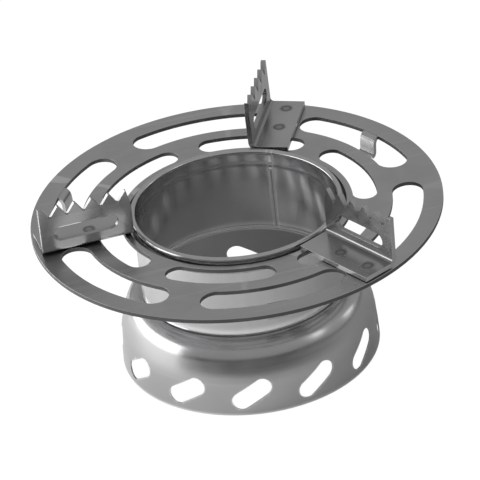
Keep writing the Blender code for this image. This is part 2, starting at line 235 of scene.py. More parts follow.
def feed(tree, socket, value):
    """Link a socket to another one, or set it to a plain value."""
    if isinstance(value, bpy.types.NodeSocket):
        tree.links.new(value, socket)
    else:
        socket.default_value = value


def step(tree, kind, first=None, settings=None, **inputs):
    """Add a node, feed its first socket and its named ones, and give back its first output."""
    node = tree.nodes.new(kind)
    for key, value in (settings or {}).items():
        setattr(node, key, value)
    if first is not None:
        feed(tree, node.inputs[0], first)
    for label, value in inputs.items():
        feed(tree, node.inputs[label.replace("_", " ")], value)
    return node.outputs[0]


def reckon(tree, operation, *values):
    """A Math node."""
    node = tree.nodes.new("ShaderNodeMath")
    node.operation = operation
    for socket, value in zip(node.inputs, values):
        feed(tree, socket, value)
    return node.outputs[0]


def vector_math(tree, operation, first, second=None, scale=None, output=0):
    """A Vector Math node; output 1 is its number."""
    node = tree.nodes.new("ShaderNodeVectorMath")
    node.operation = operation
    for label, value in ((0, first), (1, second), ("Scale", scale)):
        if value is not None:
            feed(tree, node.inputs[label], value)
    return node.outputs[output]


def step_output(tree, kind, output):
    """Add a node and give back one of its outputs by name."""
    return tree.nodes.new(kind).outputs[output]


def vector(tree, x, y, z):
    """A vector from three numbers or sockets."""
    node = tree.nodes.new("ShaderNodeCombineXYZ")
    for socket, value in zip(node.inputs, (x, y, z)):
        feed(tree, socket, value)
    return node.outputs[0]


def split(tree, source):
    """The three parts of a vector."""
    node = tree.nodes.new("ShaderNodeSeparateXYZ")
    feed(tree, node.inputs[0], source)
    return node.outputs


# ---------------------------------------------------------------- geometry node helpers

def new_tree(name, sizes):
    """A geometry node tree with one named input for each size, and the sockets that bring them in."""
    tree = bpy.data.node_groups.new(name, "GeometryNodeTree")
    tree.interface.new_socket("Blank", in_out="INPUT", socket_type="NodeSocketGeometry")
    for label, value in sizes.items():
        kind = "NodeSocketInt" if isinstance(value, int) else "NodeSocketFloat"
        tree.interface.new_socket(label, in_out="INPUT", socket_type=kind).default_value = value
    tree.interface.new_socket("Piece", in_out="OUTPUT", socket_type="NodeSocketGeometry")
    given = tree.nodes.new("NodeGroupInput").outputs
    return tree, given


def inputs_from(group, *names):
    """A tree's inputs, named after the settings they come from."""
    return {name.replace("_", " ").title(): getattr(group, name) for name in names}


def end_tree(tree, shape, material):
    """Close a tree: real geometry, one material."""
    real = step(tree, "GeometryNodeRealizeInstances", shape)
    painted = step(tree, "GeometryNodeSetMaterial", real, Material=material)
    feed(tree, tree.nodes.new("NodeGroupOutput").inputs[0], painted)


def join(tree, shapes):
    """Several geometries as one."""
    node = tree.nodes.new("GeometryNodeJoinGeometry")
    for shape in shapes:
        tree.links.new(shape, node.inputs[0])
    return node.outputs[0]


def circle_curve(tree, radius, points):
    """A circle about the origin."""
    return step(
        tree, "GeometryNodeCurvePrimitiveCircle", settings={"mode": "RADIUS"}, Resolution=points, Radius=radius)


def obround_curve(tree, half_straight, end_radius, points):
    """A slot outline along X about the origin."""
    x_part = split(tree, step(tree, "GeometryNodeInputPosition"))[0]
    shift = reckon(tree, "MULTIPLY", reckon(tree, "SIGN", x_part), half_straight)
    ends = circle_curve(tree, end_radius, 48)
    pulled = step(tree, "GeometryNodeSetPosition", ends, Offset=vector(tree, shift, 0.0, 0.0))
    return step(tree, "GeometryNodeResampleCurve", pulled, {"mode": "COUNT"}, Count=points)


def solid_from(tree, outline, depth):
    """Fill an outline in the XY plane and raise it to a closed solid of that depth."""
    flat = step(tree, "GeometryNodeFillCurve", outline, {"mode": "TRIANGLES"})
    raised = step(
        tree, "GeometryNodeExtrudeMesh", flat, {"mode": "FACES"},
        Offset=(0.0, 0.0, 1.0), Offset_Scale=depth, Individual=False)
    under = step(tree, "GeometryNodeFlipFaces", flat)
    closed = join(tree, [raised, under])
    return step(tree, "GeometryNodeMergeByDistance", closed, Distance=1e-6)


def ring_of(tree, item, count, first_angle):
    """Copies of one item, evenly turned about Z."""
    index = step(tree, "GeometryNodeInputIndex")
    angle = reckon(tree, "MULTIPLY_ADD", index, reckon(tree, "DIVIDE", 2 * pi, count), first_angle)
    seats = step(tree, "GeometryNodeMeshLine", Count=count, Offset=(0.0, 0.0, 0.0))
    turned = vector(tree, 0.0, 0.0, angle)
    return step(tree, "GeometryNodeInstanceOnPoints", seats, Instance=item, Rotation=turned)


def cut_away(tree, blank, tools):
    """What is left of the blank after the tools are taken from it."""
    node = tree.nodes.new("GeometryNodeMeshBoolean")
    node.operation = "DIFFERENCE"
    node.solver = "EXACT"
    tree.links.new(blank, node.inputs["Mesh 1"])
    tree.links.new(step(tree, "GeometryNodeRealizeInstances", tools), node.inputs["Mesh 2"])
    return node.outputs[0]


def plain_piece(name, blank, tree, sizes):
    """Run a tree on a blank mesh and keep the outcome as a plain mesh object."""
    piece = link_piece(name, blank)
    nodes = piece.modifiers.new(name, "NODES")
    nodes.node_group = tree
    for socket in tree.interface.items_tree:
        if socket.in_out == "INPUT" and socket.name in sizes:
            nodes[socket.identifier] = sizes[socket.name]
    keep_result(piece)
    return piece


def keep_result(piece):
    """Replace an object's mesh by what its modifiers make of it, and take them off."""
    bpy.context.view_layer.update()
    evaluated = piece.evaluated_get(bpy.context.evaluated_depsgraph_get())
    mesh = bpy.data.meshes.new_from_object(evaluated)
    piece.modifiers.clear()
    piece.data = mesh
    mesh.name = piece.name
    if not mesh.polygons:
        raise RuntimeError(f"{piece.name} came out empty")


# ---------------------------------------------------------------- mesh helpers

def link_piece(name, mesh):
    """Put a mesh in the scene as one named object."""
    piece = bpy.data.objects.new(name, mesh)
    bpy.context.scene.collection.objects.link(piece)
    return piece


def close_mesh(bm, name):
    """Weld, point the faces outward and turn the bmesh into a mesh."""
    bmesh.ops.remove_doubles(bm, verts=bm.verts, dist=1e-7)
    bmesh.ops.recalc_face_normals(bm, faces=bm.faces)
    mesh = bpy.data.meshes.new(name)
    bm.to_mesh(mesh)
    bm.free()
    return mesh


def arc(centre, radius, start, end, steps):
    """Points along an arc in the plane, from the start angle to the end angle."""
    angles = [start + (end - start) * i / steps for i in range(steps + 1)]
    return [(centre[0] + radius * cos(a), centre[1] + radius * sin(a)) for a in angles]


def along(start, end, steps):
    """Points from start up to, but without, the end."""
    return [
        (start[0] + (end[0] - start[0]) * i / steps, start[1] + (end[1] - start[1]) * i / steps)
        for i in range(steps)
    ]


def turned_mesh(name, section, steps):
    """Turn a closed (radius, height) section about Z."""
    bm = bmesh.new()
    corners = [bm.verts.new((radius, 0.0, height)) for radius, height in section]
    edges = [bm.edges.new((corners[i - 1], corners[i])) for i in range(len(corners))]
    bmesh.ops.spin(
        bm, geom=corners + edges, cent=(0, 0, 0), axis=(0, 0, 1),
        angle=2.0 * pi, steps=steps, use_merge=True)
    return close_mesh(bm, name)


def soften(piece, width, sharp=35.0):
    """Round off the cut edges and smooth the rest."""
    piece.data.shade_smooth()
    bevel = piece.modifiers.new("worn_edges", "BEVEL")
    bevel.width = width
    bevel.segments = 2
    bevel.limit_method = "ANGLE"
    bevel.angle_limit = radians(sharp)
    bevel.harden_normals = True
    bevel.miter_outer = "MITER_ARC"
    keep_result(piece)


def smooth(piece, sharp):
    """Smooth shading, with edges sharper than this many degrees kept crisp."""
    piece.data.shade_smooth()
    piece.data.set_sharp_from_angle(angle=radians(sharp))


def place(piece, body, slot, *nodes):
    """Give a finished piece its body and hide the CAD nodes that it stands for; the slot is not used."""
    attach(piece, body)
    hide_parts(*nodes)


# ---------------------------------------------------------------- steel

# how much brighter or darker each mark makes the steel, and how much rougher
# the edge share brightens edges partly as rubbed wear and partly as a painted highlight
RUBBED_EDGE_AND_HIGHLIGHT_SHADE, SCUFF_SHADE = 0.6, 0.10
HEAT_SHADE, HEAT_ROUGH = -0.30, 0.14
SEAM_SHADE, SEAM_ROUGH = 0.28, 0.12
CUT_WALL_ROUGH = 0.25
WAVINESS = 0.05 * MM


def noise(tree, place_vector, scale, detail=2.0, roughness=0.5):
    """Value of a noise texture."""
    return step(
        tree, "ShaderNodeTexNoise", place_vector, {"noise_dimensions": "3D"},
        Scale=scale, Detail=detail, Roughness=roughness)


def remap(tree, value, low, high, to_low, to_high):
    """Map one range smoothly onto another, and hold it there."""
    node = tree.nodes.new("ShaderNodeMapRange")
    node.interpolation_type = "SMOOTHSTEP"
    for socket, level in zip(node.inputs, (value, low, high, to_low, to_high)):
        feed(tree, socket, level)
    return node.outputs[0]


def flat_grain(tree, heading):
    """Coordinates in which brush lines run along one heading on a flat sheet."""
    place_vector = step_output(tree, "ShaderNodeTexCoord", "Object")
    turned = step(
        tree, "ShaderNodeVectorRotate", place_vector, {"rotation_type": "Z_AXIS"}, Angle=-heading)
    return place_vector, vector_math(tree, "MULTIPLY", turned, (0.03, 1.0, 1.0))


def round_grain(tree):
    """Coordinates in which spinning lines run round the axis."""
    place_vector = step_output(tree, "ShaderNodeTexCoord", "Object")
    x_part, y_part, z_part = split(tree, place_vector)
    radius = reckon(tree, "SQRT", reckon(
        tree, "ADD", reckon(tree, "MULTIPLY", x_part, x_part), reckon(tree, "MULTIPLY", y_part, y_part)))
    rings = vector(tree, radius, reckon(tree, "MULTIPLY", x_part, 0.02), z_part)
    return place_vector, rings


def upright_grain(tree):
    """Coordinates in which rolling marks run straight up a round wall."""
    place_vector = step_output(tree, "ShaderNodeTexCoord", "Object")
    return place_vector, vector_math(tree, "MULTIPLY", place_vector, (1.0, 1.0, 0.05))


def sway(tree, value, amount, base):
    """A base number that swings by an amount as a noise value goes from none to full."""
    return reckon(tree, "MULTIPLY_ADD", reckon(tree, "SUBTRACT", value, 0.5), amount, base)


def steel(name, base, roughness, grain, grain_scale, cloud=0.12, relief=0.010, brushed=0.12, marks=(),
          cut_wall_dulling_and_shade=0.0, seam=None):
    """Steel with brush grain, soft clouding, small scuffs, edges brightened partly as wear and partly as a painted
    highlight, heat marks, and upright cut walls darkened partly as dull torn metal and partly as painted shade.
    """
    material = bpy.data.materials.new(name)
    material.use_nodes = True
    material.diffuse_color = (*base, 1.0)
    tree = material.node_tree
    shader = tree.nodes["Principled BSDF"]
    shader.inputs["Metallic"].default_value = 1.0
    place_vector, lines = grain(tree)
    clouds = noise(tree, place_vector, 45.0, 3.0, 0.55)
    patches = noise(tree, place_vector, 160.0, 2.0, 0.5)
    brush = noise(tree, lines, grain_scale, 3.0, 0.65)
    scuffs = remap(tree, noise(tree, lines, grain_scale * 0.35, 1.0, 0.5), 0.64, 0.74, 0.0, 1.0)

    # colour: clouding, brush lines, then edges and scuffs brighter; the scuffs are rubbed wear, the edges partly
    # rubbed wear and partly a painted highlight
    shade = sway(tree, brush, brushed, sway(tree, clouds, 2.0 * cloud, 1.0))
    pointed = step_output(tree, "ShaderNodeNewGeometry", "Pointiness")
    edge = remap(tree, pointed, 0.515, 0.56, 0.0, 1.0)
    shade = reckon(tree, "MULTIPLY_ADD", edge, RUBBED_EDGE_AND_HIGHLIGHT_SHADE, shade)
    shade = reckon(tree, "MULTIPLY_ADD", scuffs, SCUFF_SHADE, shade)
    rough = sway(tree, brush, brushed, sway(tree, patches, 0.10, roughness))
    for centre, radius in marks:
        ring, spot = heat_mark(tree, place_vector, centre, radius)
        shade = reckon(tree, "MULTIPLY", shade, ring)
        rough = reckon(tree, "MULTIPLY_ADD", spot, HEAT_ROUGH, rough)
    if cut_wall_dulling_and_shade:
        # upright walls, the punched ones on the plate, are roughened as dull torn metal and darkened partly for
        # that metal and partly as painted shade
        level = reckon(tree, "ABSOLUTE", split(tree, step_output(tree, "ShaderNodeTexCoord", "Normal"))[2])
        wall = remap(tree, level, 0.3, 0.8, 1.0, 0.0)
        shade = reckon(tree, "MULTIPLY", shade, reckon(tree, "MULTIPLY_ADD", wall, -cut_wall_dulling_and_shade, 1.0))
        rough = reckon(tree, "MULTIPLY_ADD", wall, CUT_WALL_ROUGH, rough)
    if seam is not None:
        line = seam_lines(tree, place_vector, seam)
        shade = reckon(tree, "MULTIPLY_ADD", line, SEAM_SHADE, shade)
        rough = reckon(tree, "MULTIPLY_ADD", line, SEAM_ROUGH, rough)
    tree.links.new(vector_math(tree, "SCALE", base, scale=shade), shader.inputs["Base Color"])
    tree.links.new(reckon(tree, "MAXIMUM", rough, 0.05), shader.inputs["Roughness"])

    # relief: fine grain over very shallow hand-made waviness
    height = reckon(tree, "MULTIPLY", brush, relief * MM)
    height = reckon(tree, "MULTIPLY_ADD", clouds, WAVINESS, height)
    bump = tree.nodes.new("ShaderNodeBump")
    bump.inputs["Strength"].default_value = 1.0
    bump.inputs["Distance"].default_value = 1.0
    tree.links.new(height, bump.inputs["Height"])
    tree.links.new(bump.outputs["Normal"], shader.inputs["Normal"])
    return material


def heat_mark(tree, place_vector, centre, radius):
    """Darkening and roughening round one spot weld, uneven like a real one."""
    wobble = noise(tree, place_vector, 700.0, 2.0, 0.5)
    reach = sway(tree, wobble, radius * 0.8, vector_math(tree, "DISTANCE", place_vector, centre, output=1))
    spot = remap(tree, reach, radius * 0.75, radius * 1.35, 1.0, 0.0)
    return reckon(tree, "MULTIPLY_ADD", spot, HEAT_SHADE, 1.0), spot


def seam_lines(tree, place_vector, angle):
    """The two ground-down edges of an upright weld seam at one heading round the axis."""
    turned = step(tree, "ShaderNodeVectorRotate", place_vector, {"rotation_type": "Z_AXIS"}, Angle=-angle)
    out, aside, _ = split(tree, turned)
    apart = reckon(tree, "ABSOLUTE", reckon(tree, "SUBTRACT", reckon(tree, "ABSOLUTE", aside), 1.0 * MM))
    near = remap(tree, apart, 0.15 * MM, 0.55 * MM, 1.0, 0.0)
    return reckon(tree, "MULTIPLY", near, reckon(tree, "GREATER_THAN", out, 0.0))


# ---------------------------------------------------------------- base skirt

# the shoulder's outer line: how far inside the waist and below the lip it passes
SHOULDER = ((7.65 * MM, 0.45 * MM), (4.8 * MM, 2.4 * MM), (3.05 * MM, 5.2 * MM), (1.95 * MM, 8.4 * MM))


def bell_line(sizes):
    """The bell's outer (radius, height) line, from the seat lip over the shoulder to the rim."""
    lip, waist = sizes.lip_top, sizes.waist_radius
    knots = [(sizes.lip_radius, lip), (sizes.shoulder_distance, lip)]
    knots += [(waist - inside, lip - below) for inside, below in SHOULDER]
    knots += [(waist - 0.65 * MM, sizes.waist_height + 4.2 * MM), (waist - 0.05 * MM, sizes.waist_height)]
    knots.append((sizes.rim_radius, 0.0))
    return smooth_line(knots, 8)


def smooth_line(knots, steps):
    """Points on a smooth curve through all the knots."""
    line = []
    for i in range(len(knots) - 1):
        before, start, end = knots[max(i - 1, 0)], knots[i], knots[i + 1]
        after = knots[min(i + 2, len(knots) - 1)]
        for j in range(steps):
            t = j / steps
            line.append(tuple(
                0.5 * (2 * b + (c - a) * t + (2 * a - 5 * b + 4 * c - d) * t * t
                       + (3 * b - a - 3 * c + d) * t ** 3)
                for a, b, c, d in zip(before, start, end, after)))
    return line + [knots[-1]]


def offset_line(line, distance):
    """The same line, moved sideways towards the inside of the sheet."""
    moved = []
    for i, point in enumerate(line):
        before, after = line[max(i - 1, 0)], line[min(i + 1, len(line) - 1)]
        reach = hypot(after[0] - before[0], after[1] - before[1])
        moved.append((point[0] + (after[1] - before[1]) / reach * distance,
                      point[1] - (after[0] - before[0]) / reach * distance))
    return moved


def bell_section(sizes):
    """Closed (radius, height) section of the bell's sheet."""
    outer = bell_line(sizes)
    inner = offset_line(outer, sizes.wall)
    inner[0] = (outer[0][0], outer[0][1] - sizes.wall)
    inner[-1] = (outer[-1][0] - sizes.wall, 0.0)
    return outer + inner[::-1]


VENT_CUT_START = 6.0 * MM       # how far inside the rim the hole cutter starts
VENT_CUT_REACH = 9.0 * MM       # and how far out it reaches from there


def vent_tree(sizes, material):
    """Cuts a ring of slanted, round-ended holes in the bell."""
    tree, given = new_tree("slanted_air_holes", sizes)
    outline = obround_curve(tree, given["Half Straight"], given["End Radius"], 64)
    tool = solid_from(tree, outline, given["Reach"])
    # the outline's x runs round the skirt and up with the slant, and its depth runs outward
    slanted = step(tree, "GeometryNodeTransform", tool, Rotation=vector(tree, 0.0, 0.0, given["Slant"]))
    upright = step(tree, "GeometryNodeTransform", slanted, Rotation=(pi / 2, 0.0, pi / 2))
    seated = step(
        tree, "GeometryNodeTransform", upright, Translation=vector(tree, given["Start"], 0.0, given["Height"]))
    tools = ring_of(tree, seated, given["Count"], given["First"])
    end_tree(tree, cut_away(tree, given["Blank"], tools), material)
    return tree


class BURNERSTAND_OT_skirt(bpy.types.Operator):
    """Build the bell-shaped base with its ring of slanted air holes"""

    bl_idname = "burner_stand.skirt"
    bl_label = "Base Skirt"

    def execute(self, context):
        sizes, finish = context.scene.burner_stand.skirt, context.scene.burner_stand.finish
        material = steel(
            "skirt_steel", finish.skirt_colour, finish.skirt_roughness, round_grain, 900.0, 0.08, 0.005, 0.06)
        holes = {
            "Count": sizes.hole_count,
            "First": sizes.hole_first,
            "Height": sizes.hole_height,
            "Half Straight": sizes.hole_straight / 2,
            "End Radius": sizes.hole_width / 2,
            "Slant": sizes.hole_slant,
            "Start": sizes.rim_radius - VENT_CUT_START,
            "Reach": VENT_CUT_REACH,
        }
        bell = turned_mesh("bell_blank", bell_section(sizes), 240)
        piece = plain_piece("skirt_shell", bell, vent_tree(holes, material), holes)
        smooth(piece, 38.0)
        place(piece, "base", "skirt_steel", "base_skirt")
        return {"FINISHED"}


# ---------------------------------------------------------------- burner collar

def collar_section(sizes, plate):
    """Closed (radius, height) section: wall, ledge under the plate and rolled rim."""
    inner, outer = sizes.inner_radius, sizes.inner_radius + sizes.wall
    ledge_top = plate.top - plate.thickness - CLEARANCE
    ledge_foot = plate.top - sizes.ledge_depth
    edge = 0.45 * MM
    bead = (sizes.bead_distance, plate.top + sizes.bead_rise)
    roll = sizes.bead_radius
    outer_join = atan2(-(roll ** 2 - (outer - bead[0]) ** 2) ** 0.5, outer - bead[0])
    inner_join = atan2(-(roll ** 2 - (bead[0] - inner) ** 2) ** 0.5, inner - bead[0])
    section = along((inner, sizes.bottom), (outer, sizes.bottom), 2)
    section += along((outer, sizes.bottom), (outer, ledge_foot), 10)
    section += [(outer, ledge_foot), (sizes.ledge_radius - edge, ledge_top - 2 * edge - 0.25 * MM)]
    section += arc((sizes.ledge_radius - edge, ledge_top - edge), edge, -pi / 4, pi / 2, 6)
    section.append((outer, ledge_top))
    section += arc(bead, roll, outer_join, 2 * pi + inner_join, 22)
    groove_top, groove_foot = ledge_top - sizes.wall, ledge_foot - 0.5 * MM
    for i in range(13):
        depth = 0.04 * MM * (1.0 - cos(2.0 * pi * i / 12))
        section.append((inner + depth, groove_top + (groove_foot - groove_top) * i / 12))
    section += along((inner, groove_foot - 0.5 * MM), (inner, sizes.bottom), 10)
    return section


def scale_ring_tree(sizes, material):
    """Overlapping weld scales round the axis."""
    tree, given = new_tree("weld_scale_ring", sizes)
    scale = step(tree, "GeometryNodeMeshIcoSphere", Radius=given["Radius"], Subdivisions=2)
    leaned = step(tree, "GeometryNodeTransform", scale, Rotation=(0.5, 0.0, 0.0), Scale=(1.0, 1.7, 0.9))
    seated = step(
        tree, "GeometryNodeTransform", leaned, Translation=vector(tree, given["Distance"], 0.0, given["Height"]))
    end_tree(tree, ring_of(tree, seated, given["Count"], 0.0), material)
    return tree


def seam_mesh(sizes, low, high):
    """A slightly crowned strip of weld metal through the wall, with ripples along it."""
    bm = bmesh.new()
    half = sizes.seam_width / 2
    inner, outer = sizes.inner_radius, sizes.inner_radius + sizes.wall
    rows = 72
    loops = []
    for i in range(rows + 1):
        height = low + (high - low) * i / rows
        crown = (0.10 + 0.05 * sin(i * 1.9)) * MM
        around = [(inner - 0.02 * MM, -half), (outer + 0.02 * MM, -half), (outer + crown * 0.8, -half * 0.5),
                  (outer + crown, 0.0), (outer + crown * 0.8, half * 0.5), (outer + 0.02 * MM, half),
                  (inner - 0.02 * MM, half), (inner - crown * 0.8, half * 0.5), (inner - crown, 0.0),
                  (inner - crown * 0.8, -half * 0.5)]
        loops.append([bm.verts.new((x, y, height)) for x, y in around])
    for lower, upper in zip(loops, loops[1:]):
        for i in range(len(lower)):
            bm.faces.new((lower[i - 1], lower[i], upper[i], upper[i - 1]))
    bm.faces.new(loops[0])
    bm.faces.new(loops[-1][::-1])
    bmesh.ops.rotate(bm, verts=bm.verts, cent=(0, 0, 0), matrix=Matrix.Rotation(sizes.seam_angle, 3, "Z"))
    return close_mesh(bm, "seam_weld")


class BURNERSTAND_OT_collar(bpy.types.Operator):
    """Build the rolled burner collar with its seam weld and the fillet at its foot"""

    bl_idname = "burner_stand.collar"
    bl_label = "Burner Collar"

    def execute(self, context):
        stand = context.scene.burner_stand
        sizes, plate, skirt, finish = stand.collar, stand.plate, stand.skirt, stand.finish
        material = steel(
            "collar_steel", finish.collar_colour, finish.collar_roughness, upright_grain, 260.0, 0.10, 0.020, 0.2,
            seam=sizes.seam_angle)
        collar = link_piece("collar_tube", turned_mesh("collar_tube", collar_section(sizes, plate), 240))
        collar.data.materials.append(material)
        smooth(collar, 40.0)
        place(collar, "base", "collar_steel", "burner_collar")

        weld = steel("seam_weld_steel", finish.seam_colour, finish.weld_roughness, round_grain, 1500.0, 0.2, 0.02)
        seam_top = plate.top - sizes.ledge_depth - 1.2 * MM
        seam = link_piece("collar_seam", seam_mesh(sizes, sizes.bottom, seam_top))
        seam.data.materials.append(weld)
        smooth(seam, 45.0)
        place(seam, "base", "weld_steel", "collar_seam_weld")

        scales = {
            "Radius": skirt.neck_weld_radius,
            "Distance": sizes.inner_radius - CLEARANCE - skirt.neck_weld_radius,
            "Height": skirt.lip_top + CLEARANCE + skirt.neck_weld_radius,
            "Count": skirt.neck_weld_scales,
        }
        blank = bpy.data.meshes.new("neck_weld")
        neck = plain_piece("neck_weld", blank, scale_ring_tree(scales, weld), scales)
        neck.data.shade_smooth()
        place(neck, "base", "weld_steel", "neck_weld_bead")
        return {"FINISHED"}


# ---------------------------------------------------------------- pot support plate

def slot_row(tree, given, row):
    """One row of curved slots, as outlines."""
    inside, outside = given[f"{row} Inside"], given[f"{row} Outside"]
    middle = reckon(tree, "MULTIPLY", reckon(tree, "ADD", inside, outside), 0.5)
    end_radius = reckon(tree, "MULTIPLY", reckon(tree, "SUBTRACT", outside, inside), 0.5)
    swept = reckon(tree, "SUBTRACT", reckon(tree, "MULTIPLY", given["Slot Half Angle"], middle), end_radius)
    straight = obround_curve(tree, swept, end_radius, 160)
    x_part, y_part, _ = split(tree, step(tree, "GeometryNodeInputPosition"))
    angle = reckon(tree, "DIVIDE", x_part, middle)
    radius = reckon(tree, "ADD", middle, y_part)
    bent = vector(
        tree,
        reckon(tree, "MULTIPLY", radius, reckon(tree, "COSINE", angle)),
        reckon(tree, "MULTIPLY", radius, reckon(tree, "SINE", angle)),
        0.0)
    curved = step(tree, "GeometryNodeSetPosition", straight, Position=bent)
    row_of_slots = ring_of(tree, curved, given["Slots Per Row"], given[f"{row} First"])
    return step(tree, "GeometryNodeRealizeInstances", row_of_slots)


def plate_tree(sizes, material):
    """A ring plate with two rows of curved slots."""
    tree, given = new_tree("slotted_ring_plate", sizes)
    outlines = [circle_curve(tree, given["Radius"], 240), circle_curve(tree, given["Hole Radius"], 180)]
    outlines += [slot_row(tree, given, "Inner Row"), slot_row(tree, given, "Outer Row")]
    solid = solid_from(tree, join(tree, outlines), given["Thickness"])
    underside = reckon(tree, "SUBTRACT", given["Top"], given["Thickness"])
    lifted = step(tree, "GeometryNodeTransform", solid, Translation=vector(tree, 0.0, 0.0, underside))
    end_tree(tree, lifted, material)
    return tree


def tab_line(plate):
    """Middle line of a tab as (inward run, height), from the slot's outer edge inward and down."""
    root, foot = plate.top - plate.thickness / 2, plate.top - plate.tab_drop
    knots = [
        (-1.2 * MM, root),
        (0.0, root),
        (1.0 * MM, root - 0.35 * MM),
        (1.7 * MM, root - 1.3 * MM),
        (2.0 * MM, root - 2.9 * MM),
        (2.1 * MM, foot + 2.4 * MM),
        (2.5 * MM, foot + 1.2 * MM),
        (3.5 * MM, foot + plate.tab_thickness / 2),
    ]
    # two rounds of corner cutting give the bends their radius
    for _ in range(2):
        finer = [knots[0]]
        for before, after in zip(knots, knots[1:]):
            for part in (0.25, 0.75):
                finer.append((before[0] + (after[0] - before[0]) * part,
                              before[1] + (after[1] - before[1]) * part))
        knots = finer + [knots[-1]]
    return knots


def tab_mesh(plate):
    """One bent tab on the +X side."""
    bm = bmesh.new()
    middle = tab_line(plate)
    half, wide = plate.tab_thickness / 2, plate.tab_width / 2
    rings = []
    for i, (run, height) in enumerate(middle):
        before, after = middle[max(i - 1, 0)], middle[min(i + 1, len(middle) - 1)]
        reach = hypot(after[0] - before[0], after[1] - before[1])
        side = (-(after[1] - before[1]) / reach * half, (after[0] - before[0]) / reach * half)
        corners = [(run + side[0], wide, height + side[1]), (run - side[0], wide, height - side[1]),
                   (run - side[0], -wide, height - side[1]), (run + side[0], -wide, height + side[1])]
        rings.append([bm.verts.new((plate.outer_row_outside - x, y, z)) for x, y, z in corners])
    for first, second in zip(rings, rings[1:]):
        for i in range(4):
            bm.faces.new((first[i - 1], first[i], second[i], second[i - 1]))
    bm.faces.new(rings[0])
    bm.faces.new(rings[-1][::-1])
    return close_mesh(bm, "tab_blank")


def tab_tree(sizes, material):
    """Copies of the tab round the plate."""
    tree, given = new_tree("bent_tabs", sizes)
    end_tree(tree, ring_of(tree, given["Blank"], given["Count"], given["First"]), material)
    return tree


class BURNERSTAND_OT_plate(bpy.types.Operator):
    """Build the slotted pot support plate and its bent tabs"""

    bl_idname = "burner_stand.plate"
    bl_label = "Pot Support Plate"

    def execute(self, context):
        sizes, finish = context.scene.burner_stand.plate, context.scene.burner_stand.finish
        # the plate's cut walls carry painted shade as well as dull torn metal
        material = steel(
            "plate_steel", finish.plate_colour, finish.plate_roughness,
            lambda tree: flat_grain(tree, radians(12.0)), 1100.0, 0.06, 0.006, cut_wall_dulling_and_shade=0.72)
        outlines = inputs_from(
            sizes, "radius", "hole_radius", "top", "thickness", "slots_per_row", "slot_half_angle",
            "inner_row_inside", "inner_row_outside", "inner_row_first",
            "outer_row_inside", "outer_row_outside", "outer_row_first")
        blank = bpy.data.meshes.new("ring_plate")
        plate = plain_piece("ring_plate", blank, plate_tree(outlines, material), outlines)
        soften(plate, sizes.edge_round)
        place(plate, "pot_ring", "plate_steel", "pot_support_plate")

        spread = {"Count": sizes.tab_count, "First": sizes.tab_first}
        # the tabs' darker colour is painted shade
        rolled = steel(
            "tab_shaded_steel", finish.tab_shaded_colour, finish.plate_roughness,
            lambda tree: flat_grain(tree, radians(12.0)), 1100.0, 0.10, 0.006)
        tabs = plain_piece("plate_tabs", tab_mesh(sizes), tab_tree(spread, rolled), spread)
        soften(tabs, 0.2 * MM, 50.0)
        place(tabs, "pot_ring", "plate_steel", "pot_support_plate")
        return {"FINISHED"}


# ---------------------------------------------------------------- pot brackets

TIP_FLAT, VALLEY_FLAT = 0.25 * MM, 0.12 * MM    # half the flat on a tooth's tip and in its valley
TOOTH_OVERSHOOT = 1.0 * MM                      # how far the gullet cutters reach above the tips
CORNER_DROP = 6.0 * MM                          # height of the slope outside the first tooth
CORNER_RUN = 0.15 * MM                          # from the first tip to that slope, above the tips


def bracket_blank(sizes):
    """The bent L before its teeth and window are cut: x along, outer face at y = 0, foot towards -y."""
    inside, outside = sizes.bend_radius, sizes.bend_radius + sizes.thickness
    bend = (-outside, outside)
    section = [(-sizes.foot_width, 0.0)] + arc(bend, outside, -pi / 2, -sizes.lean, 12)
    section.append(lean_up(sizes, section[-1]))
    back = arc(bend, inside, -sizes.lean, -pi / 2, 12)
    section += [lean_up(sizes, back[0])] + back + [(-sizes.foot_width, sizes.thickness)]
    bm = bmesh.new()
    near = [bm.verts.new((0.0, y, z)) for y, z in section]
    far = [bm.verts.new((sizes.length, y, z)) for y, z in section]
    for i in range(len(section)):
        bm.faces.new((near[i - 1], near[i], far[i], far[i - 1]))
    bm.faces.new(near)
    bm.faces.new(far[::-1])
    return close_mesh(bm, "bracket_blank")


def lean_up(sizes, point):
    """The point where the upright's leaning face, starting here, reaches its full height."""
    return point[0] + (sizes.height - point[1]) * tan(sizes.lean), sizes.height


def cutter(tree, corners, depth):
    """A solid of four sides, from its corners as (along, up) pairs."""
    outline = tree.nodes.new("GeometryNodeCurvePrimitiveQuadrilateral")
    outline.mode = "POINTS"
    for i, (run, height) in enumerate(corners):
        feed(tree, outline.inputs[f"Point {i + 1}"], vector(tree, run, height, 0.0))
    return solid_from(tree, outline.outputs[0], depth)


